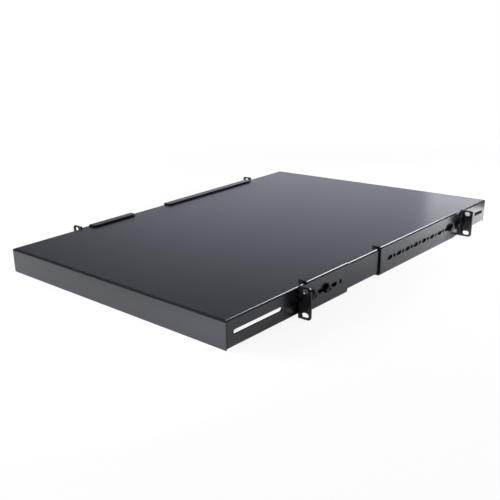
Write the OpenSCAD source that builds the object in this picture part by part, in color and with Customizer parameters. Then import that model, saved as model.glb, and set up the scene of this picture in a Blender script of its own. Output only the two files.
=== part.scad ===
// Adjustable rack shelf: a folded sheet tray carried by four channel brackets.
// Each bracket wraps the edge of the tray and ends in an ear that bolts to a rack post.
// Two screws through the bracket web and a long slot in the tray clamp it to a plate inside.
// X is to the right seen from the front, Y runs to the rear, Z is up, in millimetres.
// The origin is under the middle of the tray, at the height of the brackets' lower face.

/* [Rack] */
// Width over the ears, for a 19 inch rack
rack_w = 482.6; // [400:0.1:600]
// Height of the brackets and ears, a little under one rack unit
bracket_h = 43.6; // [36:0.1:90]
// Width of each ear beside the bracket web
ear_w = 18.8; // [16:0.1:22]
// Distance of the rack holes from the ear's outer edge
rack_hole_inset = 8.75; // [7.5:0.05:10]
// Distance of the rack holes from the ear's upper and lower edge
rack_hole_edge = 5.925; // [4.8:0.025:8]
// Height of the rack holes
rack_hole_d = 6.8; // [6:0.1:8]
// Added to the height for the length of the upper rack hole
upper_hole_extra = 1.7; // [0.5:0.1:3]
// Added to the height for the length of the lower rack hole
lower_hole_extra = 3.7; // [0.5:0.1:4]
// Radius of the ear's outer corners
ear_corner_r = 4.5; // [1:0.5:5.5]

/* [Tray] */
// Depth of the tray from front to rear
tray_l = 680; // [560:1:900]
// Thickness of the tray's sheet
tray_sheet = 2; // [1.2:0.1:2.4]
// Inside radius of the tray's bends
tray_bend_inner = 1; // [0.5:0.1:2]
// Width of the edge folded inwards at the foot of each side skirt
return_w = 12; // [8:0.5:14]
// Open seam between the side skirts and the end skirts
seam_gap = 0.6; // [0.3:0.1:1.2]

/* [Tray slots] */
// Distance of the first slot from the tray's front
front_slot_margin = 14; // [12:1:20]
// Distance of the last slot from the tray's rear
rear_slot_margin = 9; // [8:1:20]
// Solid sheet left between two neighbouring slots
slot_bridge = 16; // [10:1:20]
// Travel of the front brackets towards the tray's front
front_travel_out = 42.4; // [20:0.1:60]
// Travel of the front brackets towards the tray's middle
front_travel_in = 24.6; // [10:0.1:35]
// Travel of the rear brackets towards the tray's rear
rear_travel_out = 48; // [20:0.1:60]
// Travel of the rear brackets towards the tray's middle
rear_travel_in = 56; // [30:0.1:75]

/* [Small tray holes] */
// Diameter of the small holes along the sides of the top
pilot_d = 3; // [2:0.5:5]
// Distance of the small holes from the tray's side
pilot_inset = 8; // [6:0.5:12]
// Distance of the front pair in front of the ears
pilot_before_ear = 18; // [5:1:30]
// Distance of the second pair behind the front brackets
pilot_past_bracket = 32; // [10:1:60]

/* [Stiffeners] */
// Distance of each stiffener's centre from the tray's middle
rib_offset = 113; // [60:1:180]
// Distance of a stiffener's ends from the tray's sides
rib_end_gap = 16; // [12:1:60]
// Width of a stiffener's lower face
rib_crown = 26; // [16:1:40]
// Height of a stiffener below the top sheet
rib_h = 12; // [6:0.5:15]
// Width of each welding flange of a stiffener
rib_flange = 13; // [8:1:20]
// Thickness of the stiffener's sheet
rib_sheet = 1.5; // [1:0.1:2.5]

/* [Brackets] */
// Thickness of the brackets' sheet
bracket_sheet = 2; // [1.5:0.1:2.4]
// Inside radius of the brackets' bends
bracket_bend_inner = 1; // [0.5:0.1:1.6]
// Width of the bracket's flanges above and below the tray
flange_w = 16; // [12:0.5:17]
// Gap between the tray and each flange
slide_gap = 0.8; // [0.3:0.1:0.9]
// Gap between the tray's side and the bracket web
side_gap = 0.5; // [0.3:0.1:0.9]
// Width of the notch between the ear's bend and the flanges
relief_w = 16; // [4:0.5:18]
// Radius of the flange corner next to the ear
flange_front_r = 3; // [1:0.5:10]
// Radius of the flange corner at the bracket's free end
flange_end_r = 3; // [1:0.5:6]
// Length of each front bracket
front_bracket_l = 112; // [100:1:130]
// Distance between the front and rear bracket of one side
bracket_gap = 85; // [80:1:120]
// Distance of the front ears from the tray's front
front_ear_y = 136; // [110:1:170]
// Distance of the rear ears from the tray's rear
rear_ear_y = 94; // [85:1:115]

/* [Bracket hole row] */
// Distance from one slot to the next on the front brackets
front_row_pitch = 31.75; // [24:0.05:34]
// Distance from one slot to the next on the rear brackets
rear_row_pitch = 25.4; // [22:0.1:30]
// Length of the short slots in the bracket web
row_slot_l = 14; // [9:0.5:15]
// Ear to the first slot of a front bracket
front_row_start = 15; // [13:0.5:18]
// Ear to the first round hole of a rear bracket
rear_row_start = 11.5; // [10.5:0.5:30]
// Least distance from the last round hole to a bracket's free end
row_end = 15; // [10:0.5:20]

/* [Fasteners] */
// Diameter of the screw shank
screw_d = 5; // [4:0.1:5.4]
// Diameter of the screw head
head_d = 12; // [10:0.1:13]
// Height of the screw head
head_h = 4.4; // [3:0.1:5]
// Radius of the rounded rim of the head
head_round = 1.2; // [0.4:0.1:2]
// Width of each arm of the cross recess
recess_w = 1.4; // [1:0.1:1.8]
// Length of the cross recess over two arms
recess_l = 7; // [5:0.1:7.8]
// Depth of the cross recess
recess_depth = 2.2; // [1:0.1:2.6]
// Length of screw that stands past the nut
screw_tip = 1; // [0.5:0.1:1.8]
// Outside diameter of the washer
washer_d = 14; // [12:0.1:16]
// Thickness of the washer
washer_t = 1; // [0.6:0.1:1.6]
// Width across the flats of the nut
nut_flats = 8; // [7.6:0.1:10]
// Thickness of the nut
nut_t = 4; // [2.5:0.1:4.6]
// Height of the clamp plate inside the tray
plate_h = 18; // [12:0.5:20]
// Length of the front clamp plates from the first screw to their front end
front_plate_out = 49; // [8:1:60]
// Length of the front clamp plates behind the second screw
front_plate_in = 42; // [8:1:50]
// Length of the rear clamp plates behind the last screw
rear_plate_out = 12; // [8:0.5:30]
// Length of the rear clamp plates from the other screw to their front end
rear_plate_in = 80; // [8:1:100]
// Thickness of the clamp plate
plate_t = 2.5; // [1.5:0.1:3]

/* [Clearances] */
// Added to the screw for the round holes of the bracket and plate
hole_clearance = 1; // [0.4:0.1:1.4]
// Added to the screw for the height of the tray's slots
slot_clearance = 1; // [0.4:0.1:1.6]
// Added to the screw for the bore of the washer
washer_clearance = 0.3; // [0.1:0.1:0.6]
// Gap between the clamp plate and the tray's skirt
plate_gap = 0.3; // [0.1:0.1:0.8]
// Play between the screw and the bore of the nut
thread_play = 0.1; // [0.04:0.02:0.2]

/* [Hidden] */
$fn = 64;

// Cutters run past the faces they cut by this much
overrun = 1;

// The screws sit in two neighbouring round holes
screws_per_bracket = 2;

// Heights
tray_bottom = bracket_sheet + slide_gap;
tray_top = bracket_h - tray_bottom;
row_z = bracket_h / 2;
rack_hole_pitch = bracket_h - 2 * rack_hole_edge;

// Widths
web_outer = rack_w / 2 - ear_w;
web_inner = web_outer - bracket_sheet;
tray_w = 2 * (web_inner - side_gap);
rack_hole_x = rack_w / 2 - rack_hole_inset;
tray_bend = tray_sheet + tray_bend_inner;
bracket_bend = bracket_sheet + bracket_bend_inner;
row_hole_d = screw_d + hole_clearance;
tray_slot_h = screw_d + slot_clearance;
shank_l = washer_t + bracket_sheet + side_gap + tray_sheet + plate_gap + plate_t + nut_t + screw_tip;
plate_outer = tray_w / 2 - tray_sheet - plate_gap;
nut_outer = plate_outer - plate_t;

// Places along Y
tray_front = -tray_l / 2;
tray_rear = tray_l / 2;
front_ear_face = tray_front + front_ear_y;
rear_ear_face = tray_rear - rear_ear_y;
flange_start = bracket_bend + relief_w;
front_first_screw = front_row_start + front_row_pitch / 2;
rear_first_screw = rear_row_start;
front_screw_span = (screws_per_bracket - 1) * front_row_pitch;
rear_screw_span = (screws_per_bracket - 1) * rear_row_pitch;
rear_bracket_l = tray_l - rear_ear_y - front_ear_y - front_bracket_l - bracket_gap;

// As many holes as a row of this length takes, from its first hole to the bracket's end
function row_count(length, first, pitch) = floor((length - first - row_end) / pitch) + 1;

// Rounded slot along X, cut along Z, centred
module obround(length, width, depth) {
    cube([length - width, width, depth], center = true);
    for (end = [-1, 1])
        translate([end * (length - width) / 2, 0, 0])
            cylinder(d = width, h = depth, center = true);
}

// Slot along Y through a wall that faces X
module side_slot(x, y, z, length, width, depth) {
    translate([x, y, z])
        rotate([90, 0, 90])
            obround(length, width, depth);
}

// Round bore through a wall that faces X
module side_bore(x, y, z, diameter, depth) {
    translate([x, y, z])
        rotate([0, 90, 0])
            cylinder(d = diameter, h = depth, center = true);
}

// A drawing in X and Z, drawn out along Y from y0 to y1
module along_y(y0, y1) {
    translate([0, y1, 0])
        rotate([90, 0, 0])
            linear_extrude(y1 - y0)
                children();
}

// A drawing in Y and Z, drawn out along X from x0 to x1
module along_x(x0, x1) {
    translate([x0, 0, 0])
        rotate([90, 0, 90])
            linear_extrude(x1 - x0)
                children();
}

// Rectangle from (0, 0) to (x1, y1) with its corner at (0, 0) round
module corner_outline(x1, y1, radius) {
    translate([radius, 0])
        square([x1 - radius, y1]);
    translate([0, radius])
        square([x1, y1 - radius]);
    translate([radius, radius])
        circle(radius);
}

// Section of a folded sheet: two legs along X and Y from a bend at (0, 0)
module folded_section(leg_x, leg_y, sheet, inner) {
    difference() {
        corner_outline(leg_x, leg_y, sheet + inner);
        translate([sheet, sheet])
            corner_outline(leg_x, leg_y, inner);
    }
}

// Rectangle whose two upper corners are round
module dome_outline(half, z0, z1, radius) {
    translate([-half, z0])
        square([2 * half, z1 - radius - z0]);
    translate([radius - half, z0])
        square([2 * (half - radius), z1 - z0]);
    for (side = [-1, 1])
        translate([side * (half - radius), z1 - radius])
            circle(radius);
}

// Rectangle whose two corners at its right end are round
module channel_outline(x0, x1, z0, z1, radius) {
    translate([x0, z0])
        square([x1 - radius - x0, z1 - z0]);
    translate([x0, z0 + radius])
        square([x1 - x0, z1 - z0 - 2 * radius]);
    for (z = [z0 + radius, z1 - radius])
        translate([x1 - radius, z])
            circle(radius);
}

// Box with its four top edges rounded and mitred at the corners
module pan_block(half_w, half_l, z0, z1, radius) {
    intersection() {
        along_y(-half_l, half_l)
            dome_outline(half_w, z0, z1, radius);
        along_x(-half_w, half_w)
            dome_outline(half_l, z0, z1, radius);
    }
}

// One long slot in both side skirts, from y0 to y1
module tray_slot(y0, y1) {
    for (side = [-1, 1])
        side_slot(
            side * (tray_w - tray_sheet) / 2,
            (y0 + y1) / 2,
            row_z,
            y1 - y0,
            tray_slot_h,
            tray_sheet + 2 * overrun
        );
}

// From each end of the tray: a spare slot, a bridge, and the slot that the bracket's screws
// use, which is as long as their travel asks
module tray_slots() {
    front_screw = front_ear_face + front_first_screw;
    rear_screw = rear_ear_face - rear_first_screw;
    front_used = front_screw - front_travel_out - tray_slot_h / 2;
    rear_used = rear_screw + rear_travel_out + tray_slot_h / 2;
    tray_slot(tray_front + front_slot_margin, front_used - slot_bridge);
    tray_slot(front_used, front_screw + front_screw_span + front_travel_in + tray_slot_h / 2);
    tray_slot(rear_screw - rear_screw_span - rear_travel_in - tray_slot_h / 2, rear_used);
    tray_slot(rear_used + slot_bridge, tray_rear - rear_slot_margin);
}

// Small holes in the top: one pair before the front ears, one behind the front brackets
module pilot_holes() {
    front_bracket_end = front_ear_face + front_bracket_l;
    for (side = [-1, 1])
        for (y = [front_ear_face - pilot_before_ear, front_bracket_end + pilot_past_bracket])
            translate([side * (tray_w / 2 - pilot_inset), y, tray_top])
                cylinder(d = pilot_d, h = 2 * (tray_sheet + overrun), center = true);
}

// Foot of a side skirt, cut away where the edge is folded inwards
module foot_cut(side) {
    seam_y = tray_l / 2 - tray_sheet - seam_gap;
    wall_x = side * (tray_w / 2 - tray_bend / 2 + overrun / 2);
    translate([wall_x, 0, tray_bottom + (tray_bend - overrun) / 2])
        cube([tray_bend + overrun, 2 * seam_y, tray_bend + overrun], center = true);
}

// Open seam between a side skirt and an end skirt
module seam_cut(side, end) {
    seam_y = end * (tray_l / 2 - tray_sheet - seam_gap / 2);
    seam_top = tray_top - tray_bend;
    translate([side * tray_w / 2, seam_y, (seam_top + tray_bottom - overrun) / 2])
        cube([2 * tray_sheet, seam_gap, seam_top - tray_bottom + overrun], center = true);
}

// Edge folded inwards along the foot of the right side skirt
module return_flange() {
    seam_y = tray_l / 2 - tray_sheet - seam_gap;
    along_y(-seam_y, seam_y)
        translate([tray_w / 2, tray_bottom])
            mirror([1, 0])
                folded_section(return_w, tray_bend + overrun, tray_sheet, tray_bend_inner);
}

// Tray: top sheet, four skirts, slots and small holes, folded from one sheet
module shelf_tray() color("#2e3034") {
    difference() {
        pan_block(tray_w / 2, tray_l / 2, tray_bottom, tray_top, tray_bend);
        pan_block(
            tray_w / 2 - tray_sheet,
            tray_l / 2 - tray_sheet,
            tray_bottom - overrun,
            tray_top - tray_sheet,
            tray_bend_inner
        );
        tray_slots();
        pilot_holes();
        for (side = [-1, 1]) {
            foot_cut(side);
            for (end = [-1, 1])
                seam_cut(side, end);
        }
    }
    return_flange();
    mirror([1, 0, 0])
        return_flange();
}

// Hat section welded under the top sheet, across the tray
module stiffener(y) color("#26282b") {
    under = tray_top - tray_sheet;
    low = under - rib_h;
    half = rib_crown / 2;
    rib_end = tray_w / 2 - rib_end_gap;
    translate([0, y, 0])
        along_x(-rib_end, rib_end) {
            translate([-half, low])
                square([rib_crown, rib_sheet]);
            for (side = [0, 1])
                mirror([side, 0]) {
                    translate([half - rib_sheet, low])
                        square([rib_sheet, rib_h]);
                    translate([half - rib_sheet, under - rib_sheet])
                        square([rib_flange + rib_sheet, rib_sheet]);
                }
        }
}

// Round off the corner of a flange at (0, 0) of its own quadrant
module flange_corner(radius) {
    difference() {
        translate([-overrun, -overrun, -overrun])
            cube([radius + overrun, radius + overrun, bracket_h + 2 * overrun]);
        translate([radius, radius, -2 * overrun])
            cylinder(r = radius, h = bracket_h + 4 * overrun);
    }
}

// Slotted rack hole through the ear, at height z
module rack_hole(z, length) {
    translate([rack_hole_x, bracket_sheet / 2, z])
        rotate([90, 0, 0])
            obround(length, rack_hole_d, bracket_sheet + 2 * overrun);
}

// Notch that parts a flange from the ear's bend, from z0 to z1
module relief_notch(z0, z1) {
    translate([web_inner - overrun, bracket_bend, z0])
        cube([bracket_sheet + 2 * overrun, relief_w + 2 * overrun, z1 - z0]);
}

// Ear, its bend and the neck that runs into the web
module ear() {
    difference() {
        intersection() {
            translate([web_inner, 0, 0])
                linear_extrude(bracket_h)
                    folded_section(
                        rack_w / 2 - web_inner,
                        flange_start + overrun,
                        bracket_sheet,
                        bracket_bend_inner
                    );
            along_y(-overrun, flange_start + 2 * overrun)
                channel_outline(web_inner - overrun, rack_w / 2, 0, bracket_h, ear_corner_r);
        }
        rack_hole(bracket_h / 2 + rack_hole_pitch / 2, rack_hole_d + upper_hole_extra);
        rack_hole(bracket_h / 2 - rack_hole_pitch / 2, rack_hole_d + lower_hole_extra);
        relief_notch(-overrun, bracket_bend);
        relief_notch(bracket_h - bracket_bend, bracket_h + overrun);
    }
}

// Channel of a bracket: the web with a flange above and below the tray
module channel(length) {
    difference() {
        along_y(flange_start, length)
            difference() {
                channel_outline(web_outer - flange_w, web_outer, 0, bracket_h, bracket_bend);
                channel_outline(
                    web_outer - flange_w - overrun,
                    web_inner,
                    bracket_sheet,
                    bracket_h - bracket_sheet,
                    bracket_bend_inner
                );
            }
        translate([web_outer - flange_w, flange_start, 0])
            flange_corner(flange_front_r);
        translate([web_outer - flange_w, length, 0])
            mirror([0, 1, 0])
                flange_corner(flange_end_r);
    }
}

// Right hand bracket with its ear face at y = 0 and its web running to y = length
module bracket_body(length, first_slot, first_hole, pitch) {
    difference() {
        union() {
            ear();
            channel(length);
        }
        for (i = [0:row_count(length, first_slot, pitch) - 1])
            side_slot(
                web_outer - bracket_sheet / 2,
                first_slot + i * pitch,
                row_z,
                row_slot_l,
                row_hole_d,
                bracket_sheet + overrun
            );
        for (i = [0:row_count(length, first_hole, pitch) - 1])
            side_bore(
                web_outer - bracket_sheet / 2,
                first_hole + i * pitch,
                row_z,
                row_hole_d,
                bracket_sheet + overrun
            );
    }
}

module front_bracket() {
    bracket_body(front_bracket_l, front_row_start, front_first_screw, front_row_pitch);
}

module rear_bracket() {
    first_slot = rear_first_screw + rear_row_pitch / 2;
    bracket_body(rear_bracket_l, first_slot, rear_first_screw, rear_row_pitch);
}

// Pan head screw along X, under its head at x = 0, shank towards -X
module screw() {
    rotate([0, 90, 0]) {
        difference() {
            rotate_extrude() {
                square([head_d / 2 - head_round, head_h]);
                square([head_d / 2, head_h - head_round]);
                intersection() {
                    translate([head_d / 2 - head_round, head_h - head_round])
                        circle(head_round);
                    square([head_d / 2, head_h]);
                }
            }
            for (turn = [0, 90])
                rotate(turn)
                    translate([0, 0, head_h])
                        cube([recess_l, recess_w, 2 * recess_depth], center = true);
        }
        translate([0, 0, -shank_l])
            cylinder(d = screw_d, h = shank_l);
    }
}

module washer() {
    rotate([0, 90, 0])
        difference() {
            cylinder(d = washer_d, h = washer_t);
            translate([0, 0, -overrun])
                cylinder(d = screw_d + washer_clearance, h = washer_t + 2 * overrun);
        }
}

// Hexagon nut with its outer face at x = 0, body towards -X
module nut() {
    rotate([0, -90, 0])
        difference() {
            cylinder(d = nut_flats / cos(30), h = nut_t, $fn = 6);
            translate([0, 0, -overrun])
                cylinder(d = screw_d + thread_play, h = nut_t + 2 * overrun);
        }
}

// Put a part of the right side at each screw of a bracket
module at_screws(first_screw, pitch, x) {
    for (i = [0:screws_per_bracket - 1])
        translate([x, first_screw + i * pitch, row_z])
            children();
}

// Plate inside the skirt that the two screws pull against it, from y0 to y1
module plate_body(first_screw, pitch, y0, y1) {
    difference() {
        translate([plate_outer - plate_t, y0, row_z - plate_h / 2])
            cube([plate_t, y1 - y0, plate_h]);
        for (i = [0:screws_per_bracket - 1])
            side_bore(
                plate_outer - plate_t / 2,
                first_screw + i * pitch,
                row_z,
                row_hole_d,
                plate_t + overrun
            );
    }
}

module front_plate() {
    front_end = front_first_screw - front_plate_out;
    rear_end = front_first_screw + front_screw_span + front_plate_in;
    plate_body(front_first_screw, front_row_pitch, front_end, rear_end);
}

module rear_plate() {
    rear_end = rear_first_screw - rear_plate_out;
    front_end = rear_first_screw + rear_screw_span + rear_plate_in;
    plate_body(rear_first_screw, rear_row_pitch, rear_end, front_end);
}

// Place a right hand front part, mirrored to the left when side is -1
module at_front(side) {
    mirror([side < 0 ? 1 : 0, 0, 0])
        translate([0, front_ear_face, 0])
            children();
}

// Place a right hand rear part: it runs forward from the rear ear
module at_rear(side) {
    mirror([side < 0 ? 1 : 0, 0, 0])
        translate([0, rear_ear_face, 0])
            mirror([0, 1, 0])
                children();
}

module bracket_front(side) color("#2a2c30") at_front(side) front_bracket();
module bracket_rear(side) color("#2a2c30") at_rear(side) rear_bracket();

module screws_front(side) color("#17181a") at_front(side)
    at_screws(front_first_screw, front_row_pitch, web_outer + washer_t) screw();
module screws_rear(side) color("#17181a") at_rear(side)
    at_screws(rear_first_screw, rear_row_pitch, web_outer + washer_t) screw();

module washers_front(side) color("#1d1e20") at_front(side)
    at_screws(front_first_screw, front_row_pitch, web_outer) washer();
module washers_rear(side) color("#1d1e20") at_rear(side)
    at_screws(rear_first_screw, rear_row_pitch, web_outer) washer();

module clamp_plate_front(side) color("#232427") at_front(side) front_plate();
module clamp_plate_rear(side) color("#232427") at_rear(side) rear_plate();

module nuts_front(side) color("#b4b6b9") at_front(side)
    at_screws(front_first_screw, front_row_pitch, nut_outer) nut();
module nuts_rear(side) color("#b4b6b9") at_rear(side)
    at_screws(rear_first_screw, rear_row_pitch, nut_outer) nut();

shelf_tray();
stiffener(-rib_offset);  // stiffener_front
stiffener(rib_offset);  // stiffener_rear
bracket_front(-1);  // bracket_front_left
bracket_front(1);  // bracket_front_right
bracket_rear(-1);  // bracket_rear_left
bracket_rear(1);  // bracket_rear_right
screws_front(-1);  // screws_front_left
screws_front(1);  // screws_front_right
screws_rear(-1);  // screws_rear_left
screws_rear(1);  // screws_rear_right
washers_front(-1);  // washers_front_left
washers_front(1);  // washers_front_right
washers_rear(-1);  // washers_rear_left
washers_rear(1);  // washers_rear_right
clamp_plate_front(-1);  // clamp_plate_front_left
clamp_plate_front(1);  // clamp_plate_front_right
clamp_plate_rear(-1);  // clamp_plate_rear_left
clamp_plate_rear(1);  // clamp_plate_rear_right
nuts_front(-1);  // nuts_front_left
nuts_front(1);  // nuts_front_right
nuts_rear(-1);  // nuts_rear_left
nuts_rear(1);  // nuts_rear_right
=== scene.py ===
"""Dresses an adjustable rack shelf: powder coated sheet metal, clamping screws, nuts and washers.

The sheet metal keeps the shapes of the construction model and gets its finishes here. The screws,
washers and nuts are modelled again in mesh code, with threads, chamfers and cross recesses.
"""

import logging
import math
from dataclasses import dataclass, field
from enum import Enum
from typing import Callable, Iterator

import bmesh
import bpy
from mathutils import Matrix, Vector


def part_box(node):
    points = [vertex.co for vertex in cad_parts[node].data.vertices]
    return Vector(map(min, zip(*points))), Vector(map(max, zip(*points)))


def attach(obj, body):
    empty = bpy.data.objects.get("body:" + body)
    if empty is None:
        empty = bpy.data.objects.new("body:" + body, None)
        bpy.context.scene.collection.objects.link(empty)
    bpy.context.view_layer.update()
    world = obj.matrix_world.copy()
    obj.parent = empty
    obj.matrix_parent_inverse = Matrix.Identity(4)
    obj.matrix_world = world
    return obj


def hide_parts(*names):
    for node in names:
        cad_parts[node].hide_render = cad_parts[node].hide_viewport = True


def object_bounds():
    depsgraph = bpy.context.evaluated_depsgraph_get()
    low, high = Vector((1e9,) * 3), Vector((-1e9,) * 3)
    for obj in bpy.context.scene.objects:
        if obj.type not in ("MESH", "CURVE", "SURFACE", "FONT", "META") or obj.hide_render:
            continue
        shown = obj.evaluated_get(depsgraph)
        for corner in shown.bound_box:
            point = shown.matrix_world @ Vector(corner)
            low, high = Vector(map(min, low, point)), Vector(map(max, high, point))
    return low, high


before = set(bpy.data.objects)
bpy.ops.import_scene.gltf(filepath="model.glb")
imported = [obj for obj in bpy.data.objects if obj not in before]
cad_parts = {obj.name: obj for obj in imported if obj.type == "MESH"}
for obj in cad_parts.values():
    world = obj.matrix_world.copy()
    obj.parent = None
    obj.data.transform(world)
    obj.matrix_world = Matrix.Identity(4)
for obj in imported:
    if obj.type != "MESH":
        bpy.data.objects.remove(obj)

CAD_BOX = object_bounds()
LOG = logging.getLogger("rack_shelf")

Colour = tuple[float, float, float]
Profile = list[tuple[float, float]]
Shares = tuple[tuple[float, float], ...]
Operand = float | bpy.types.NodeSocket

WHITE: Colour = (1.0, 1.0, 1.0)
NOISE_MEAN = 0.5
STREAK_SQUEEZE = (1.0, 0.08, 1.0)


def rgba(colour: Colour) -> tuple[float, float, float, float]:
    """Return the colour with an alpha of one."""
    return (*colour, 1.0)


# Shader groups


class GroupBuilder:
    """Builds one shader node group with named sockets."""

    def __init__(self, name: str, inputs: dict[str, float], outputs: list[str]) -> None:
        """Make the group and its sockets.

        Args:
            name: name of the node group.
            inputs: name and default of each float input.
            outputs: name of each float output.
        """
        self.tree = bpy.data.node_groups.new(name, "ShaderNodeTree")
        for socket, default in inputs.items():
            made = self.tree.interface.new_socket(socket, in_out="INPUT", socket_type="NodeSocketFloat")
            made.default_value = default
        for socket in outputs:
            self.tree.interface.new_socket(socket, in_out="OUTPUT", socket_type="NodeSocketFloat")
        self.entry = self.tree.nodes.new("NodeGroupInput")
        self.exit = self.tree.nodes.new("NodeGroupOutput")

    def node(self, kind: str, **values: object) -> bpy.types.Node:
        """Add a node and set its properties.

        Args:
            kind: identifier of the node type.
            **values: properties of the node.

        Returns:
            The new node.
        """
        made = self.tree.nodes.new(kind)
        for key, value in values.items():
            setattr(made, key, value)
        return made

    def feed(self, target: bpy.types.NodeSocket, operand: Operand) -> None:
        """Join a socket to an input, or set the input to a number.

        Args:
            target: input socket of a node.
            operand: output socket or number.
        """
        if isinstance(operand, bpy.types.NodeSocket):
            self.tree.links.new(operand, target)
        else:
            target.default_value = operand

    def give(self, results: dict[str, bpy.types.NodeSocket]) -> None:
        """Join each named output of the group to its result."""
        for name, result in results.items():
            self.feed(self.exit.inputs[name], result)

    def math(self, operation: str, *operands: Operand) -> bpy.types.NodeSocket:
        """Add a math node.

        Args:
            operation: identifier of the operation.
            *operands: one or two sockets or numbers.

        Returns:
            The node's output socket.
        """
        made = self.node("ShaderNodeMath", operation=operation)
        for socket, operand in zip(made.inputs, operands):
            self.feed(socket, operand)
        return made.outputs[0]

    def fade(self, value: Operand, start: Operand, stop: Operand) -> bpy.types.NodeSocket:
        """Add a soft step.

        Args:
            value: what the step depends on.
            start: value where the result is 0.
            stop: value where the result is 1.

        Returns:
            The step's output socket.
        """
        made = self.node("ShaderNodeMapRange", interpolation_type="SMOOTHSTEP")
        for name, operand in (("Value", value), ("From Min", start), ("From Max", stop)):
            self.feed(made.inputs[name], operand)
        return made.outputs["Result"]

    def place(self, kind: str) -> bpy.types.NodeSocket:
        """Add texture coordinates and return the socket of that kind."""
        return self.node("ShaderNodeTexCoord").outputs[kind]

    def noise(
        self, scale: Operand, detail: float, roughness: float, place: bpy.types.NodeSocket | None = None
    ) -> bpy.types.NodeSocket:
        """Add a noise texture.

        Args:
            scale: size of the pattern.
            detail: octaves of the noise.
            roughness: weight of the finer octaves.
            place: coordinates to use, or None for the object's own.

        Returns:
            The noise value's socket, from 0 to 1.
        """
        made = self.node("ShaderNodeTexNoise")
        self.feed(made.inputs["Vector"], place or self.place("Object"))
        for name, operand in (("Scale", scale), ("Detail", detail), ("Roughness", roughness)):
            self.feed(made.inputs[name], operand)
        return made.outputs["Fac"]


def coat_grain_group() -> bpy.types.NodeTree:
    """Build the fine pebbled skin of a baked powder coat.

    Returns:
        A group that gives a height, a tint mask and a roughness over the surface.
    """
    build = GroupBuilder(
        "coat_grain",
        {
            "Pebble Scale": 900.0, "Speck Ratio": 0.37, "Speck Share": 0.15, "Drift Scale": 14.0,
            "Pebble Tint": 0.6, "Drift Tint": 0.4, "Roughness": 0.4, "Roughness Spread": 0.03,
        },
        ["Height", "Tint", "Roughness"],
    )
    entry = build.entry.outputs
    pebble = build.noise(entry["Pebble Scale"], detail=2.0, roughness=0.55)
    drift = build.noise(entry["Drift Scale"], detail=3.0, roughness=0.5)
    speck_scale = build.math("MULTIPLY", entry["Pebble Scale"], entry["Speck Ratio"])
    speck = build.noise(speck_scale, detail=1.0, roughness=0.5)
    spread, grainy = (
        build.math("MULTIPLY", build.math("SUBTRACT", pattern, NOISE_MEAN), entry["Roughness Spread"])
        for pattern in (drift, pebble)
    )
    pebble_tint = build.math("MULTIPLY", pebble, entry["Pebble Tint"])
    drift_tint = build.math("MULTIPLY", drift, entry["Drift Tint"])
    build.give({
        "Height": build.math("ADD", pebble, build.math("MULTIPLY", speck, entry["Speck Share"])),
        "Tint": build.math("ADD", pebble_tint, drift_tint),
        "Roughness": build.math("ADD", entry["Roughness"], build.math("ADD", spread, grainy)),
    })
    return build.tree


def plating_group() -> bpy.types.NodeTree:
    """Build the drawn streaks and cloudy patches of a plated steel surface.

    Returns:
        A group that gives a height, a cloud mask and a roughness over the surface.
    """
    build = GroupBuilder(
        "plating",
        {"Streak Scale": 400.0, "Cloud Scale": 90.0, "Roughness": 0.35, "Roughness Spread": 0.15},
        ["Height", "Cloud", "Roughness"],
    )
    entry = build.entry.outputs
    squeeze = build.node("ShaderNodeMapping")
    squeeze.inputs["Scale"].default_value = STREAK_SQUEEZE
    build.feed(squeeze.inputs["Vector"], build.place("Object"))
    streaks = build.noise(entry["Streak Scale"], detail=2.0, roughness=0.5, place=squeeze.outputs["Vector"])
    cloud = build.noise(entry["Cloud Scale"], detail=4.0, roughness=0.6)
    change = build.math("MULTIPLY", build.math("SUBTRACT", cloud, NOISE_MEAN), entry["Roughness Spread"])
    build.give({
        "Height": streaks,
        "Cloud": cloud,
        "Roughness": build.math("ADD", entry["Roughness"], change),
    })
    return build.tree


def floor_share_group() -> bpy.types.NodeTree:
    """Build the share of plain tone in the floor and its strength, from the kind of ray and the place.

    Returns:
        A group that gives the share, which rises to one away from the shelf, and the plain tone's strength:
        white for the camera, and for reflections white by the shelf and dusky beyond it.
    """
    build = GroupBuilder(
        "floor_share",
        dict.fromkeys((
            "Camera", "Mirror", "Camera Share", "Mirror Share", "Near", "Far",
            "Half Width", "Half Depth", "Dusk Near", "Dusk Far", "Dusk",
        ), 0.0),
        ["Share", "Strength"],
    )
    entry = build.entry.outputs
    place = build.place("Object")
    reach = build.node("ShaderNodeVectorMath", operation="LENGTH")
    folded = build.node("ShaderNodeVectorMath", operation="ABSOLUTE")
    apart = build.node("ShaderNodeSeparateXYZ")
    build.feed(reach.inputs[0], place)
    build.feed(folded.inputs[0], place)
    build.feed(apart.inputs[0], folded.outputs["Vector"])
    beside = build.math(
        "MAXIMUM",
        build.math("SUBTRACT", apart.outputs["X"], entry["Half Width"]),
        build.math("SUBTRACT", apart.outputs["Y"], entry["Half Depth"]),
    )
    plain = build.fade(reach.outputs["Value"], entry["Near"], entry["Far"])
    dusky = build.fade(beside, entry["Dusk Near"], entry["Dusk Far"])
    shares = []
    for ray, share, fade in (("Camera", "Camera Share", plain), ("Mirror", "Mirror Share", dusky)):
        rest = build.math("MULTIPLY", build.math("SUBTRACT", 1.0, entry[share]), fade)
        shares.append(build.math("MULTIPLY", entry[ray], build.math("ADD", entry[share], rest)))
    dimmed = build.math("MULTIPLY", dusky, build.math("SUBTRACT", 1.0, entry["Dusk"]))
    build.give({
        "Share": build.math("MAXIMUM", *shares),
        "Strength": build.math("SUBTRACT", 1.0, build.math("MULTIPLY", entry["Mirror"], dimmed)),
    })
    return build.tree


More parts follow.
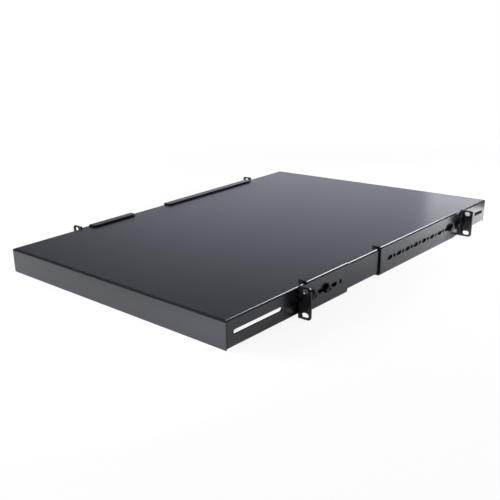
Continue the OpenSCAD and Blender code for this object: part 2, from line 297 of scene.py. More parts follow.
def horizon_glow_group() -> bpy.types.NodeTree:
    """Build the level of the surroundings: a plain grey with a glow low behind the shelf.

    Returns:
        A group that gives the level for the direction in which the surroundings are met.
    """
    build = GroupBuilder(
        "horizon_glow",
        dict.fromkeys(("Base", "Glow", "Low", "High", "Bearing", "Narrow", "Full"), 0.0),
        ["Level"],
    )
    entry = build.entry.outputs
    apart = build.node("ShaderNodeSeparateXYZ")
    build.feed(apart.inputs[0], build.place("Generated"))
    across = build.math("MULTIPLY", apart.outputs["X"], build.math("COSINE", entry["Bearing"]))
    along = build.math("MULTIPLY", apart.outputs["Y"], build.math("SINE", entry["Bearing"]))
    low_down = build.fade(apart.outputs["Z"], entry["High"], entry["Low"])
    towards = build.fade(build.math("ADD", across, along), entry["Narrow"], entry["Full"])
    glow = build.math("MULTIPLY", entry["Glow"], build.math("MULTIPLY", low_down, towards))
    build.give({"Level": build.math("ADD", entry["Base"], glow)})
    return build.tree


class ShaderGroups:
    """Makes each shader group the first time that a finish asks for it."""

    _makers: dict[str, Callable[[], bpy.types.NodeTree]] = {
        "coat_grain": coat_grain_group,
        "plating": plating_group,
        "floor_share": floor_share_group,
        "horizon_glow": horizon_glow_group,
    }
    _made: dict[str, bpy.types.NodeTree] = {}

    @classmethod
    def get(cls, name: str) -> bpy.types.NodeTree:
        """Return the group of that name."""
        if name not in cls._made:
            cls._made[name] = cls._makers[name]()
        return cls._made[name]


# Finishes


class MaterialDraft:
    """A new material with its Principled shader and a few helpers to wire it."""

    def __init__(self, name: str) -> None:
        """Make the material.

        Args:
            name: name of the material.
        """
        self.material = bpy.data.materials.new(name)
        self.material.use_nodes = True
        self.tree = self.material.node_tree
        self.shader = self.tree.nodes["Principled BSDF"]

    def group(self, name: str, values: dict[str, float]) -> bpy.types.Node:
        """Place a shader group and set its inputs.

        Args:
            name: name of the group.
            values: value of each named input.

        Returns:
            The group's node.
        """
        made = self.tree.nodes.new("ShaderNodeGroup")
        made.node_tree = ShaderGroups.get(name)
        for socket, value in values.items():
            made.inputs[socket].default_value = value
        return made

    def two_tone(
        self, mask: bpy.types.NodeSocket, low: Colour, high: Colour, span: tuple[float, float] = (0.3, 0.7)
    ) -> None:
        """Blend the base colour between two tones by a mask.

        Args:
            mask: socket that varies over the surface.
            low: colour where the mask is low.
            high: colour where the mask is high.
            span: mask values where each colour is pure.
        """
        ramp = self.tree.nodes.new("ShaderNodeValToRGB")
        for element, position, colour in zip(ramp.color_ramp.elements, span, (low, high)):
            element.position = position
            element.color = rgba(colour)
        self.tree.links.new(mask, ramp.inputs["Fac"])
        self.tree.links.new(ramp.outputs["Color"], self.shader.inputs["Base Color"])

    def bump(self, height: bpy.types.NodeSocket, depth: float) -> None:
        """Feed a height into the shader's normal.

        Args:
            height: socket that varies over the surface.
            depth: height of the relief in metres.
        """
        made = self.tree.nodes.new("ShaderNodeBump")
        made.inputs["Strength"].default_value = 1.0
        made.inputs["Distance"].default_value = depth
        self.tree.links.new(height, made.inputs["Height"])
        self.tree.links.new(made.outputs["Normal"], self.shader.inputs["Normal"])


@dataclass(frozen=True)
class PowderCoat:
    """Satin powder coat on sheet steel.

    Args:
        name: name of the material.
        dark: colour in the hollows of the grain.
        light: colour on the crests of the grain.
        roughness: mean roughness.
        specular: specular level of the coat.
        relief: depth of the grain in metres.
        sheen_tint: colour of the reflections seen head on.
    """

    name: str
    dark: Colour
    light: Colour
    roughness: float = 0.25
    specular: float = 1.0
    relief: float = 0.000016
    sheen_tint: Colour = (0.86, 0.88, 1.0)

    def material(self) -> bpy.types.Material:
        """Build the coat's material from the grain group.

        Returns:
            The finished material.
        """
        draft = MaterialDraft(self.name)
        grain = draft.group("coat_grain", {"Roughness": self.roughness})
        draft.two_tone(grain.outputs["Tint"], self.dark, self.light)
        draft.tree.links.new(grain.outputs["Roughness"], draft.shader.inputs["Roughness"])
        draft.bump(grain.outputs["Height"], self.relief)
        draft.shader.inputs["Specular IOR Level"].default_value = self.specular
        draft.shader.inputs["Specular Tint"].default_value = rgba(self.sheen_tint)
        return draft.material


@dataclass(frozen=True)
class Plating:
    """Plated steel, bright zinc or black.

    Args:
        name: name of the material.
        dark: colour of the duller patches.
        light: colour of the brighter patches.
        roughness: mean roughness.
        metallic: how metallic the surface is.
        relief: depth of the drawn streaks in metres.
    """

    name: str
    dark: Colour
    light: Colour
    roughness: float = 0.35
    metallic: float = 1.0
    relief: float = 0.00001

    def material(self) -> bpy.types.Material:
        """Build the plated surface's material from the plating group.

        Returns:
            The finished material.
        """
        draft = MaterialDraft(self.name)
        plating = draft.group("plating", {"Roughness": self.roughness})
        draft.two_tone(plating.outputs["Cloud"], self.dark, self.light)
        draft.tree.links.new(plating.outputs["Roughness"], draft.shader.inputs["Roughness"])
        draft.bump(plating.outputs["Height"], self.relief)
        draft.shader.inputs["Metallic"].default_value = self.metallic
        return draft.material


class Finish(Enum):
    """The finishes of the shelf, each with its record slot."""

    TRAY = ("tray_paint", PowderCoat(
        "satin_black_tray", dark=(0.006, 0.0064, 0.0072), light=(0.01, 0.0106, 0.0118),
    ))
    BRACKET = ("bracket_paint", PowderCoat(
        "satin_black_bracket", dark=(0.0045, 0.0047, 0.0053), light=(0.0075, 0.0079, 0.0087), roughness=0.24,
    ))
    SCREW = ("black_screws", Plating(
        "black_zinc_screw", dark=(0.045, 0.045, 0.05), light=(0.08, 0.08, 0.085), roughness=0.24,
    ))
    WASHER = ("black_washers", Plating(
        "black_zinc_washer", dark=(0.012, 0.012, 0.013), light=(0.02, 0.02, 0.022), roughness=0.45,
    ))
    # Painted shade: the clamp plates are near black and dull so that the slots in the skirts and brackets in
    # front of them look as dark as the shade inside the tray.
    PLATE = ("plate_paint", PowderCoat(
        "black_plate_painted_shade", dark=(0.010, 0.010, 0.012), light=(0.018, 0.019, 0.021), roughness=0.5, specular=0.4,
    ))
    NUT = ("zinc_nuts", Plating(
        "bright_zinc_nut", dark=(0.55, 0.56, 0.58), light=(0.70, 0.71, 0.73), roughness=0.30,
    ))

    @property
    def slot(self) -> str:
        """Name of the record's material slot."""
        return self.value[0]

    def material(self) -> bpy.types.Material:
        """Return the finish's material, made once."""
        found = bpy.data.materials.get(self.value[1].name)
        return found or self.value[1].material()


# Mesh helpers


class MeshKit:
    """Small mesh makers that the pieces share. Every turned form has its axis along X."""

    @staticmethod
    def turned(profile: Profile, segments: int) -> bmesh.types.BMesh:
        """Turn a closed profile about the X axis.

        Args:
            profile: points (x, radius) in order, from the axis and back to it, or a closed ring.
            segments: divisions of the turn.

        Returns:
            A mesh with its faces outwards.
        """
        mesh = bmesh.new()
        rings: list[list[bmesh.types.BMVert]] = []
        for x, radius in profile:
            if radius == 0.0:
                rings.append([mesh.verts.new((x, 0.0, 0.0))])
                continue
            turns = (2 * math.pi * i / segments for i in range(segments))
            rings.append([mesh.verts.new((x, radius * math.cos(a), radius * math.sin(a))) for a in turns])
        closed = len(rings[0]) > 1
        pairs = list(zip(rings, rings[1:])) + ([(rings[-1], rings[0])] if closed else [])
        for low, high in pairs:
            for i in range(segments):
                j = (i + 1) % segments
                corners = [low[i % len(low)], low[j % len(low)], high[j % len(high)], high[i % len(high)]]
                unique = list(dict.fromkeys(corners))
                if len(unique) > 2:
                    mesh.faces.new(unique)
        bmesh.ops.recalc_face_normals(mesh, faces=mesh.faces)
        return mesh

    @staticmethod
    def arc(centre: tuple[float, float], radius: float, start: float, stop: float, steps: int) -> Profile:
        """Give points on an arc of a profile.

        Args:
            centre: centre as (x, radius from the axis).
            radius: radius of the arc.
            start: first angle in degrees, 0 along +X and 90 away from the axis.
            stop: last angle in degrees.
            steps: number of points less one.

        Returns:
            The points in order.
        """
        turns = (math.radians(start + (stop - start) * i / steps) for i in range(steps + 1))
        return [(centre[0] + radius * math.cos(a), centre[1] + radius * math.sin(a)) for a in turns]

    @staticmethod
    def prism(outline: list[tuple[float, float]], levels: list[tuple[float, float]]) -> bmesh.types.BMesh:
        """Stack scaled copies of an outline along X.

        Args:
            outline: points (y, z) of a closed outline.
            levels: (x, scale) of each copy in order.

        Returns:
            A closed mesh.
        """
        mesh = bmesh.new()
        rings = [[mesh.verts.new((x, y * s, z * s)) for y, z in outline] for x, s in levels]
        count = len(outline)
        for low, high in zip(rings, rings[1:]):
            for i in range(count):
                j = (i + 1) % count
                mesh.faces.new((low[i], low[j], high[j], high[i]))
        mesh.faces.new(rings[0])
        mesh.faces.new(rings[-1])
        bmesh.ops.recalc_face_normals(mesh, faces=mesh.faces)
        return mesh

    @staticmethod
    def as_mesh(name: str, source: bmesh.types.BMesh) -> bpy.types.Mesh:
        """Turn a bmesh into a mesh and free it.

        Args:
            name: name of the mesh.
            source: bmesh to turn into it, which is freed.

        Returns:
            The mesh.
        """
        made = bpy.data.meshes.new(name)
        source.to_mesh(made)
        source.free()
        return made

    @staticmethod
    def cut(name: str, body: bpy.types.Mesh, tool: bpy.types.Mesh, how: str) -> bpy.types.Mesh:
        """Cut a mesh by another one.

        Args:
            name: name of the result.
            body: mesh to be cut.
            tool: cutting mesh.
            how: kind of cut, DIFFERENCE or INTERSECT.

        Returns:
            The cut mesh. The two sources are removed.
        """
        objects = [bpy.data.objects.new(f"{name}_{i}", m) for i, m in enumerate((body, tool))]
        for item in objects:
            bpy.context.scene.collection.objects.link(item)
        boolean = objects[0].modifiers.new("cut", "BOOLEAN")
        boolean.operation = how
        boolean.solver = "EXACT"
        boolean.object = objects[1]
        bpy.context.view_layer.update()
        graph = bpy.context.evaluated_depsgraph_get()
        made = bpy.data.meshes.new_from_object(objects[0].evaluated_get(graph))
        made.name = name
        for item in objects:
            data = item.data
            bpy.data.objects.remove(item)
            bpy.data.meshes.remove(data)
        return made

    @staticmethod
    def placed(name: str, template: bpy.types.Mesh, places: list[Matrix]) -> bpy.types.Object:
        """Copy a template to several places within one object.

        Args:
            name: name of the new object.
            template: mesh to copy.
            places: a matrix for each copy.

        Returns:
            The object, linked to the scene.
        """
        mesh = bmesh.new()
        for place in places:
            copy = template.copy()
            copy.transform(place)
            if place.determinant() < 0:
                copy.flip_normals()
            mesh.from_mesh(copy)
            bpy.data.meshes.remove(copy)
        made = bpy.data.objects.new(name, MeshKit.as_mesh(name, mesh))
        bpy.context.scene.collection.objects.link(made)
        return made

    @staticmethod
    def smooth_by_angle(mesh: bpy.types.Mesh, degrees: float) -> None:
        """Shade a mesh smooth with sharp edges above an angle."""
        mesh.shade_smooth()
        mesh.set_sharp_from_angle(angle=math.radians(degrees))


# Fasteners


@dataclass
class PanScrew:
    """Cross recess pan head screw, along X with the head at +X and its seat at x = 0.

    Args:
        length: length under the head in metres.
        diameter: outside diameter of the thread.
        head_diameter: diameter of the head.
        head_height: height of the head.
        foot_round: rounding of the head's edge at its seat.
        rim_round: rounding of the head's rim.
        crown: how far the head's top bulges above its rim.
        crown_steps: fall from the top and distance from the axis of the bulge's points, as shares.
        recess_span: length of the cross recess from tip to tip.
        recess_width: width of its arms.
        recess_depth: depth of the recess.
        recess_steps: depth and size of the recess from its floor upwards, as shares.
        recess_mouth: height above the head and size of the recess's cutter at its top.
        pitch: pitch of the thread.
        thread_share: depth of the thread as a share of its pitch.
        flank_share: steepness of the thread's flanks, where 1 is a plain V.
        run_out: length over which the thread fades in under the head, and the tip narrows.
        tip_share: radius of the tip as a share of the shank's.
        rings_per_pitch: divisions along one turn of the thread.
        segments: divisions round the screw.
        sharp_angle: angle in degrees above which an edge is shaded sharp.
    """

    length: float
    diameter: float = 0.005
    head_diameter: float = 0.012
    head_height: float = 0.0044
    foot_round: float = 0.0003
    rim_round: float = 0.0014
    crown: float = 0.00035
    crown_steps: Shares = ((0.45, 0.55), (0.1, 0.25))
    recess_span: float = 0.007
    recess_width: float = 0.0014
    recess_depth: float = 0.0022
    recess_steps: Shares = ((1.0, 0.42), (0.35, 0.82))
    recess_mouth: tuple[float, float] = (0.0004, 1.06)
    pitch: float = 0.0008
    thread_share: float = 0.54
    flank_share: float = 1.25
    run_out: float = 0.0006
    tip_share: float = 0.8
    rings_per_pitch: int = 8
    segments: int = 40
    sharp_angle: float = 32

    def head_profile(self) -> Profile:
        """Draw half of the domed head's section.

        Returns:
            Points (x, radius) from the middle of the seat round to the middle of the top.
        """
        top, radius, foot, rim = self.head_height, self.head_diameter / 2, self.foot_round, self.rim_round
        profile: Profile = [(0.0, 0.0), (0.0, radius - foot)]
        profile += MeshKit.arc((foot, radius - foot), foot, start=180, stop=90, steps=3)[1:]
        profile += MeshKit.arc((top - self.crown - rim, radius - rim), rim, start=90, stop=18, steps=8)
        profile += [(top - self.crown * fall, radius * reach) for fall, reach in self.crown_steps]
        return profile + [(top, 0.0)]

    def recess(self) -> bmesh.types.BMesh:
        """Make the tapered cross that is cut out of the head.

        Returns:
            A closed mesh from the recess's floor to above the head.
        """
        arm, half = self.recess_span / 2, self.recess_width / 2
        outline = [(arm, -half), (arm, half), (half, half), (half, arm), (-half, arm), (-half, half)]
        outline += [(-y, -z) for y, z in outline]
        levels = [(self.head_height - self.recess_depth * depth, size) for depth, size in self.recess_steps]
        overrun, mouth = self.recess_mouth
        return MeshKit.prism(outline, levels + [(self.head_height + overrun, mouth)])

    def head(self) -> bpy.types.Mesh:
        """Return the domed head with its cross recess."""
        body = MeshKit.as_mesh("head_body", MeshKit.turned(self.head_profile(), self.segments))
        return MeshKit.cut("screw_head", body, MeshKit.as_mesh("recess", self.recess()), "DIFFERENCE")

    def shank(self) -> bmesh.types.BMesh:
        """Make the threaded shank, from the head's seat to its narrowed tip.

        Returns:
            A closed mesh whose thread fades in under the head.
        """
        depth = self.pitch * self.thread_share
        mesh = bmesh.new()
        steps = int(self.length / (self.pitch / self.rings_per_pitch))
        rings: list[list[bmesh.types.BMVert]] = []
        for k in range(steps + 1):
            x = -self.length * k / steps
            tip = min(1.0, max(0.0, (self.length + x) / self.run_out))
            seat = min(1.0, -x / self.run_out)
            narrowing = self.tip_share + (1.0 - self.tip_share) * tip
            ring = []
            for i in range(self.segments):
                turn = i / self.segments
                phase = (x / self.pitch + turn) % 1.0
                cut = depth * min(1.0, self.flank_share * (1 - abs(2 * phase - 1)))
                radius = (self.diameter / 2 - cut * seat) * narrowing
                angle = 2 * math.pi * turn
                ring.append(mesh.verts.new((x, radius * math.cos(angle), radius * math.sin(angle))))
            rings.append(ring)
        for low, high in zip(rings, rings[1:]):
            for i in range(self.segments):
                j = (i + 1) % self.segments
                mesh.faces.new((low[i], high[i], high[j], low[j]))
        mesh.faces.new(rings[0])
        mesh.faces.new(rings[-1])
        bmesh.ops.recalc_face_normals(mesh, faces=mesh.faces)
        return mesh

    def template(self) -> bpy.types.Mesh:
        """Join the head and the shank.

        Returns:
            The whole screw as one mesh.
        """
        whole = bmesh.new()
        for part in (self.head(), MeshKit.as_mesh("shank", self.shank())):
            whole.from_mesh(part)
            bpy.data.meshes.remove(part)
        mesh = MeshKit.as_mesh("pan_screw", whole)
        MeshKit.smooth_by_angle(mesh, self.sharp_angle)
        return mesh


@dataclass
class FlatWasher:
    """Flat washer along X, its seat at x = 0.

    Args:
        diameter: outside diameter in metres.
        bore: diameter of the bore.
        thickness: thickness of the washer.
        edge: rounding of the upper outer edge. The bore's edge has half of it.
        foot: chamfer of the lower edge.
        segments: divisions round the washer.
        sharp_angle: angle in degrees above which an edge is shaded sharp.
    """

    diameter: float = 0.014
    bore: float = 0.0053
    thickness: float = 0.001
    edge: float = 0.00025
    foot: float = 0.0001
    segments: int = 48
    sharp_angle: float = 40

    def template(self) -> bpy.types.Mesh:
        """Turn the washer with its rolled upper edge.

        Returns:
            The washer's mesh.
        """
        outer, inner, edge, small = self.diameter / 2, self.bore / 2, self.edge, self.edge / 2
        profile: Profile = [(0.0, inner), (0.0, outer - self.foot), (self.foot, outer)]
        profile += MeshKit.arc((self.thickness - edge, outer - edge), edge, start=90, stop=0, steps=4)
        profile += MeshKit.arc((self.thickness - small, inner + small), small, start=0, stop=-90, steps=3)
        mesh = MeshKit.as_mesh("washer", MeshKit.turned(profile, self.segments))
        MeshKit.smooth_by_angle(mesh, self.sharp_angle)
        return mesh


@dataclass
class HexNut:
    """Hexagon nut along X, from x = 0 towards -X.

    Args:
        flats: width across the flats in metres.
        height: height of the nut.
        bore: diameter of the bore.
        countersink: depth and width of the bore's countersink.
        chamfer_angle: slope of the corners' chamfer in degrees.
        face_share: radius of the flat face as a share of half the flats.
        overrun: how far the chamfer's cutter reaches past the corners.
        segments: divisions round the bore.
        sharp_angle: angle in degrees above which an edge is shaded sharp.
    """

    flats: float = 0.008
    height: float = 0.004
    bore: float = 0.0051
    countersink: float = 0.0004
    chamfer_angle: float = 30
    face_share: float = 0.97
    overrun: float = 0.0003
    segments: int = 64
    sharp_angle: float = 28

    def template(self) -> bpy.types.Mesh:
        """Cut the hexagon to its chamfers and its countersunk bore.

        Returns:
            The nut's mesh.
        """
        corner, face, foot = self.flats / math.sqrt(3), self.flats / 2 * self.face_share, -self.height
        hexagon = [(corner * math.cos(math.pi * i / 3), corner * math.sin(math.pi * i / 3)) for i in range(6)]
        block = MeshKit.as_mesh("hexagon", MeshKit.prism(hexagon, [(foot, 1.0), (0.0, 1.0)]))
        reach = corner + self.overrun
        rise = (reach - face) * math.tan(math.radians(self.chamfer_angle))
        inner, sink = self.bore / 2, self.countersink
        profile: Profile = [
            (0.0, inner + sink), (0.0, face), (-rise, reach),
            (foot + rise, reach), (foot, face),
            (foot, inner + sink), (foot + sink, inner), (-sink, inner),
        ]
        chamfers = MeshKit.as_mesh("chamfers", MeshKit.turned(profile, self.segments))
        mesh = MeshKit.cut("hex_nut", block, chamfers, "INTERSECT")
        MeshKit.smooth_by_angle(mesh, self.sharp_angle)
        return mesh


@dataclass
class SpotWelds:
    """Rows of spot weld marks pressed into the flanges of a stiffener.

    Args:
        radius: radius of a mark in metres.
        height: how far its rim stands proud.
        root: how far it reaches into the sheet.
        dish: height and distance from the axis of the dish's points, from the edge inwards, as shares.
        spacing: distance between marks along the stiffener.
        inset: distance of the row from the flange's edge.
        segments: divisions round a mark.
        sharp_angle: angle in degrees above which an edge is shaded sharp.
    """

    radius: float = 0.003
    height: float = 0.00012
    root: float = 0.0001
    dish: Shares = ((0.7, 0.9), (1.0, 0.78), (0.6, 0.62), (0.15, 0.4), (0.05, 0.0))
    spacing: float = 0.048
    inset: float = 0.0065
    segments: int = 24
    sharp_angle: float = 60

    def template(self) -> bpy.types.Mesh:
        """Turn one mark: a shallow dish with a raised rim, its face down along -X.

        Returns:
            The mark's mesh.
        """
        profile: Profile = [(self.root, 0.0), (self.root, self.radius), (0.0, self.radius)]
        profile += [(-self.height * rise, self.radius * reach) for rise, reach in self.dish]
        mesh = MeshKit.as_mesh("weld_mark", MeshKit.turned(profile, self.segments))
        MeshKit.smooth_by_angle(mesh, self.sharp_angle)
        return mesh


# Sub-assemblies


class Side(Enum):
    """Left or right, seen from the front."""

    LEFT = "left"
    RIGHT = "right"


class End(Enum):
    """Front or rear of the shelf."""

    FRONT = "front"
    REAR = "rear"


# Turn of each bracket's two screws in degrees, as they were left when they were tightened
SCREW_TURNS = {End.FRONT: (8.0, 41.0), End.REAR: (24.0, -13.0)}


def dress_node(name: str, finish: Finish) -> None:
    """Give a construction node its finish.

    Args:
        name: name of the node.
        finish: finish to assign to all its material slots.
    """
    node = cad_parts[name]
    for slot in node.material_slots:
        slot.material = finish.material()
    LOG.info("%s keeps its shape and is finished as %s", name, finish.slot)


def add_piece(piece: bpy.types.Object, finish: Finish, body: str, replaced: str | None = None) -> None:
    """Finish a new piece and tie it to the frame.

    Args:
        piece: the new object.
        finish: its finish.
        body: body that carries it.
        replaced: construction node that it stands for.
    """
    piece.data.materials.clear()
    piece.data.materials.append(finish.material())
    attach(piece, body)
    finish.slot
    if replaced:
        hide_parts(replaced)
    LOG.info("%s rides on %s", piece.name, body)


@dataclass
class ShelfTray:
    """The folded tray and the stiffeners under it.

    Args:
        body: body that carries them.
        stiffeners: names of the stiffeners' nodes.
        stiffener_sheet: thickness of the stiffeners' sheet in metres.
        welds: the weld marks on the stiffeners' flanges.
    """

    body: str = "shelf"
    stiffeners: tuple[str, ...] = ("stiffener_front", "stiffener_rear")
    stiffener_sheet: float = 0.0015
    welds: SpotWelds = field(default_factory=SpotWelds)

    def weld_places(self, node: str) -> list[Matrix]:
        """Give the place of each weld mark on one stiffener.

        Args:
            node: name of the stiffener.

        Returns:
            A matrix for each mark, its face down.
        """
        low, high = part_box(node)
        face = high.z - self.stiffener_sheet
        count = int((high.x - low.x - 2 * self.welds.inset) / self.welds.spacing)
        start = (low.x + high.x - count * self.welds.spacing) / 2
        down = Matrix.Rotation(math.radians(-90), 4, "Y")
        rows = (low.y + self.welds.inset, high.y - self.welds.inset)
        spots = [Vector((start + i * self.welds.spacing, y, face)) for y in rows for i in range(count + 1)]
        return [Matrix.Translation(spot) @ down for spot in spots]

    def build(self) -> None:
        """Dress the tray and the stiffeners, and add the weld marks."""
        dress_node("shelf_tray", Finish.TRAY)
        template = self.welds.template()
        for node in self.stiffeners:
            dress_node(node, Finish.TRAY)
            marks = MeshKit.placed(f"weld_marks_{node}", template, self.weld_places(node))
            add_piece(marks, Finish.TRAY, self.body)
        bpy.data.meshes.remove(template)


@dataclass
class Fasteners:
    """Mesh templates of the screws, washers and nuts, shared by the four brackets.

    Args:
        screw: mesh of one screw.
        washer: mesh of one washer.
        nut: mesh of one nut.
    """

    screw: bpy.types.Mesh
    washer: bpy.types.Mesh
    nut: bpy.types.Mesh

    @classmethod
    def sized(cls) -> "Fasteners":
        """Make the templates, the screw at the length of the construction model's screws and the washer and
        nut at their own sizes.

        Returns:
            The three templates.
        """
        low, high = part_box("screws_front_right")
        screw = PanScrew(length=high.x - low.x - PanScrew.head_height)
        return cls(screw.template(), FlatWasher().template(), HexNut().template())

    def remove(self) -> None:
        """Remove the templates once they are placed."""
        for mesh in (self.screw, self.washer, self.nut):
            bpy.data.meshes.remove(mesh)


@dataclass
class ClampedBracket:
    """One channel bracket with its ear, screws, washers, clamp plate and nuts.

    Args:
        end: front or rear.
        side: left or right.
        fasteners: templates of its screws, washers and nuts.
    """

    end: End
    side: Side
    fasteners: Fasteners

    @property
    def body(self) -> str:
        """Name of the body that slides along the tray."""
        return f"{self.end.value}_{self.side.value}_bracket"

    def node(self, kind: str) -> str:
        """Name of a construction node of this bracket."""
        return f"{kind}_{self.end.value}_{self.side.value}"

    def centres(self) -> Iterator[tuple[float, float]]:
        """Find the two screws from the washers' box.

        Returns:
            An iterator over the Y and Z of each screw, the front one first.
        """
        low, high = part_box(self.node("washers"))
        radius = (high.z - low.z) / 2
        for y in (low.y + radius, high.y - radius):
            yield y, (low.z + high.z) / 2

    def places(self, x: float) -> list[Matrix]:
        """Give a matrix for each screw at a given distance from the middle.

        Args:
            x: distance of the seat from the shelf's middle plane.

        Returns:
            Matrices that point +X away from the shelf, each with a turn of its own.
        """
        sign = -1 if self.side is Side.LEFT else 1
        face = Matrix.Rotation(math.pi, 4, "Z") if sign < 0 else Matrix.Identity(4)
        made = []
        for (y, z), turn in zip(self.centres(), SCREW_TURNS[self.end]):
            spin = Matrix.Rotation(math.radians(turn), 4, "X")
            made.append(Matrix.Translation((sign * x, y, z)) @ face @ spin)
        return made

    def seat(self, kind: str, outer: bool) -> float:
        """Find the distance of a node's face from the middle plane.

        Args:
            kind: kind of node, such as washers.
            outer: whether the outer face is meant, and not the inner one.

        Returns:
            The distance in metres.
        """
        low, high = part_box(self.node(kind))
        reach = sorted((abs(low.x), abs(high.x)))
        return reach[1] if outer else reach[0]

    def build(self) -> None:
        """Dress the bracket and its plate, and place the detailed fasteners."""
        dress_node(self.node("bracket"), Finish.BRACKET)
        dress_node(self.node("clamp_plate"), Finish.PLATE)
        head_seat = self.seat("screws", True) - PanScrew.head_height
        parts = (
            ("screws", self.fasteners.screw, head_seat, Finish.SCREW),
            ("washers", self.fasteners.washer, self.seat("washers", False), Finish.WASHER),
            ("nuts", self.fasteners.nut, self.seat("nuts", True), Finish.NUT),
        )
        for kind, template, x, finish in parts:
            name = self.node(kind)
            piece = MeshKit.placed(f"{name}_detailed", template, self.places(x))
            add_piece(piece, finish, self.body, name)


# Studio


class Reach(Enum):
    """What a lamp does: light matt surfaces, or show in reflections."""

    LIGHT = (True, False)
    CARD = (False, True)


@dataclass
class Softbox:
    """A soft lamp.

    Args:
        name: name of the lamp.
        place: centre of the lamp in metres.
        aim: point that it faces.
        width: width of the lamp.
        height: height of the lamp.
        watts: power of the lamp.
        reach: whether it lights matt surfaces or shows in reflections.
    """

    name: str
    place: tuple[float, float, float]
    aim: tuple[float, float, float]
    width: float
    height: float
    watts: float
    reach: Reach

    def build(self) -> None:
        """Add the lamp to the scene."""
        data = bpy.data.lights.new(self.name, "AREA")
        data.shape = "RECTANGLE"
        data.size = self.width
        data.size_y = self.height
        data.energy = self.watts
        lamp = bpy.data.objects.new(self.name, data)
        lamp.location = self.place
        lamp.rotation_euler = (Vector(self.aim) - Vector(self.place)).to_track_quat("-Z", "Y").to_euler()
        lamp.visible_camera = False
        lamp.visible_diffuse, lamp.visible_glossy = self.reach.value
        bpy.context.scene.collection.objects.link(lamp)


@dataclass
class ViewCamera:
    """The camera at the photograph's angle.

    Args:
        place: position in metres.
        azimuth: turn from the front towards the right, in degrees.
        elevation: height above the horizon, in degrees.
        roll: roll of the frame, in degrees.
        focal: focal length in frame widths.
        shift: shift of the frame in frame widths.
        sensor: width of the sensor in millimetres.
        nearest: distance in metres from which things are seen.
    """

    place: tuple[float, float, float] = (0.7180, -0.9003, 0.3700)
    azimuth: float = 47.977
    elevation: float = 20.267
    roll: float = -3.293
    focal: float = 1.4316
    shift: tuple[float, float] = (0.20, 0.061)
    sensor: float = 36.0
    nearest: float = 0.01

    def build(self) -> None:
        """Add the camera and make it the scene's own."""
        turn, rise, roll = (math.radians(angle) for angle in (self.azimuth, self.elevation, self.roll))
        back = Vector((math.sin(turn) * math.cos(rise), -math.cos(turn) * math.cos(rise), math.sin(rise)))
        right = Vector((math.cos(turn), math.sin(turn), 0.0))
        up = back.cross(right)
        turned_right = right * math.cos(roll) + up * math.sin(roll)
        turned_up = up * math.cos(roll) - right * math.sin(roll)
        data = bpy.data.cameras.new("view_camera")
        data.sensor_fit = "HORIZONTAL"
        data.sensor_width = self.sensor
        data.lens = self.focal * self.sensor
        data.shift_x, data.shift_y = self.shift
        data.clip_start = self.nearest
        camera = bpy.data.objects.new("view_camera", data)
        camera.matrix_world = Matrix((
            (turned_right.x, turned_up.x, back.x, self.place[0]),
            (turned_right.y, turned_up.y, back.y, self.place[1]),
            (turned_right.z, turned_up.z, back.z, self.place[2]),
            (0.0, 0.0, 0.0, 1.0),
        ))
        bpy.context.scene.collection.objects.link(camera)
        bpy.context.scene.camera = camera


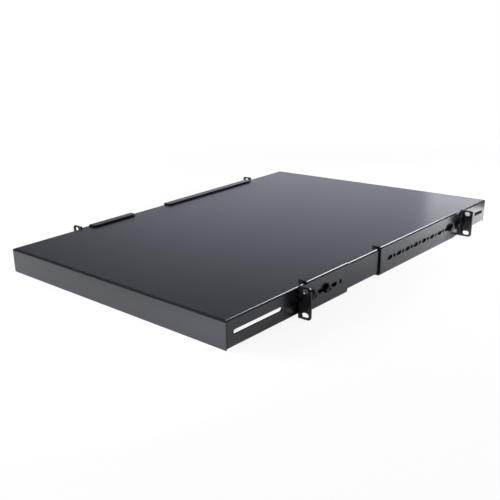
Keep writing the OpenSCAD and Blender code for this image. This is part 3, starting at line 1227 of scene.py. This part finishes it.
@dataclass
class Studio:
    """Pale floor, white surroundings and soft lamps.

    Args:
        floor_size: side of the square floor in metres.
        floor_tone: grey of the floor for light.
        floor_white: share of plain white that the camera sees in the floor near the shelf.
        mirrored_white: the same share for the reflections in the paint.
        shade_reach: distance from the middle where the floor is still shaded, and where it is plain.
        dusk_reach: distance from the shelf's sides where the mirrored floor dims, and where it is dusky.
        dusk: level of the floor in reflections beyond that.
        surround_tint: tint of the surroundings for light and reflections.
        ambient: level of the surroundings away from the glow.
        glow: level that the glow low behind the shelf adds.
        glow_heights: upward share of a direction where the glow is full, and where it ends.
        glow_bearing: bearing of the glow's middle in radians, from +X towards +Y.
        glow_spread: share of a direction towards that bearing where the glow starts, and where it is full.
        lamps: the lights on the floor and the shelf, and the cards that the paint mirrors.
    """

    floor_size: float = 60.0
    floor_tone: float = 0.85
    floor_white: float = 0.9
    mirrored_white: float = 0.1
    shade_reach: tuple[float, float] = (0.65, 1.1)
    dusk_reach: tuple[float, float] = (0.07, 0.11)
    dusk: float = 0.05
    surround_tint: Colour = (0.91, 0.94, 1.08)
    ambient: float = 0.12
    glow: float = 1.45
    glow_heights: tuple[float, float] = (0.05, 0.41)
    glow_bearing: float = 1.95
    glow_spread: tuple[float, float] = (0.7, 1.0)
    lamps: tuple[Softbox, ...] = (
        Softbox(
            "key_front", place=(-2.1, -1.8, 1.1), aim=(0.0, -0.3, 0.0),
            width=1.5, height=1.1, watts=165.0, reach=Reach.LIGHT,
        ),
        Softbox(
            "pool_front", place=(0.22, -0.48, 0.13), aim=(0.03, -0.41, 0.0),
            width=0.1, height=0.1, watts=0.3, reach=Reach.LIGHT,
        ),
        Softbox(
            "corner_rear", place=(-0.02, 0.85, 0.19), aim=(0.21, 0.3, 0.04),
            width=0.20, height=0.14, watts=0.088, reach=Reach.CARD,
        ),
        Softbox(
            "ridge_right", place=(0.42, 1.96, 1.52), aim=(0.22, 0.0, 0.04),
            width=1.2, height=1.0, watts=38.0, reach=Reach.CARD,
        ),
        Softbox(
            "pool_right", place=(0.45, 0.65, 0.19), aim=(0.28, 0.34, 0.0),
            width=0.16, height=0.16, watts=11.0, reach=Reach.LIGHT,
        ),
        Softbox(
            "fill_top", place=(-1.5, 0.1, 1.9), aim=(0.0, 0.0, 0.0),
            width=1.6, height=1.6, watts=10.0, reach=Reach.LIGHT,
        ),
    )

    def floor(self) -> None:
        """Add the floor, which keeps the shelf's shadow and can be seen through from below."""
        half = self.floor_size / 2
        corners = [(-half, -half, 0.0), (half, -half, 0.0), (half, half, 0.0), (-half, half, 0.0)]
        data = bpy.data.meshes.new("floor")
        data.from_pydata(corners, [], [(0, 1, 2, 3)])
        floor = bpy.data.objects.new("floor", data)
        bpy.context.scene.collection.objects.link(floor)
        data.materials.append(self.floor_material())

    def floor_material(self) -> bpy.types.Material:
        """Build the floor's matt white, plainer with the distance from the shelf.

        Returns:
            The floor's material.
        """
        draft = MaterialDraft("pale_floor")
        tree = draft.tree
        tree.nodes.remove(draft.shader)
        add, join = tree.nodes.new, tree.links.new
        _, corner = CAD_BOX
        matt = add("ShaderNodeBsdfDiffuse")
        matt.inputs["Color"].default_value = rgba((self.floor_tone,) * 3)
        plain = draft.group("floor_share", {
            "Camera Share": self.floor_white,
            "Mirror Share": self.mirrored_white,
            **dict(zip(("Near", "Far"), self.shade_reach)),
            **dict(zip(("Half Width", "Half Depth"), corner)),
            **dict(zip(("Dusk Near", "Dusk Far"), self.dusk_reach)),
            "Dusk": self.dusk,
        })
        flat = add("ShaderNodeEmission")
        path = add("ShaderNodeLightPath")
        upper, sides = add("ShaderNodeMixShader"), add("ShaderNodeMixShader")
        join(path.outputs["Is Camera Ray"], plain.inputs["Camera"])
        join(path.outputs["Is Glossy Ray"], plain.inputs["Mirror"])
        join(plain.outputs["Share"], upper.inputs[0])
        join(matt.outputs[0], upper.inputs[1])
        join(plain.outputs["Strength"], flat.inputs["Strength"])
        join(flat.outputs[0], upper.inputs[2])
        join(add("ShaderNodeNewGeometry").outputs["Backfacing"], sides.inputs[0])
        join(upper.outputs[0], sides.inputs[1])
        join(add("ShaderNodeBsdfTransparent").outputs[0], sides.inputs[2])
        join(sides.outputs[0], tree.nodes["Material Output"].inputs["Surface"])
        return draft.material

    def surroundings(self) -> None:
        """Make the world white to the camera and grey for light and reflections.

        The grey has a glow low behind the shelf.
        """
        world = bpy.data.worlds.new("studio")
        bpy.context.scene.world = world
        world.use_nodes = True
        tree = world.node_tree
        tree.nodes.clear()
        add = tree.nodes.new
        grey, white = add("ShaderNodeBackground"), add("ShaderNodeBackground")
        grey.inputs["Color"].default_value = rgba(self.surround_tint)
        white.inputs["Color"].default_value = rgba(WHITE)
        level = add("ShaderNodeGroup")
        level.node_tree = ShaderGroups.get("horizon_glow")
        for socket, value in {
            "Base": self.ambient,
            "Glow": self.glow,
            "Bearing": self.glow_bearing,
            **dict(zip(("Low", "High"), self.glow_heights)),
            **dict(zip(("Narrow", "Full"), self.glow_spread)),
        }.items():
            level.inputs[socket].default_value = value
        path = add("ShaderNodeLightPath")
        seen = add("ShaderNodeMath")
        seen.operation = "MAXIMUM"
        mix = add("ShaderNodeMixShader")
        output = add("ShaderNodeOutputWorld")
        for source, target in (
            (path.outputs["Is Camera Ray"], seen.inputs[0]),
            (path.outputs["Is Transmission Ray"], seen.inputs[1]),
            (seen.outputs[0], mix.inputs[0]),
            (level.outputs["Level"], grey.inputs["Strength"]),
            (grey.outputs[0], mix.inputs[1]),
            (white.outputs[0], mix.inputs[2]),
            (mix.outputs[0], output.inputs["Surface"]),
        ):
            tree.links.new(source, target)

    def build(self) -> None:
        """Set up the floor, the surroundings, the lamps and the camera."""
        bpy.context.scene.view_settings.view_transform = "Standard"
        self.floor()
        self.surroundings()
        for lamp in self.lamps:
            lamp.build()
        ViewCamera().build()
        LOG.info("studio with %d lamps", len(self.lamps))


def main() -> None:
    """Build the studio, the tray and the four brackets."""
    logging.basicConfig(level=logging.INFO, format="%(message)s")
    Studio().build()
    ShelfTray().build()
    fasteners = Fasteners.sized()
    for end in End:
        for side in Side:
            ClampedBracket(end, side, fasteners).build()
    fasteners.remove()


if __name__ == "__main__":
    main()
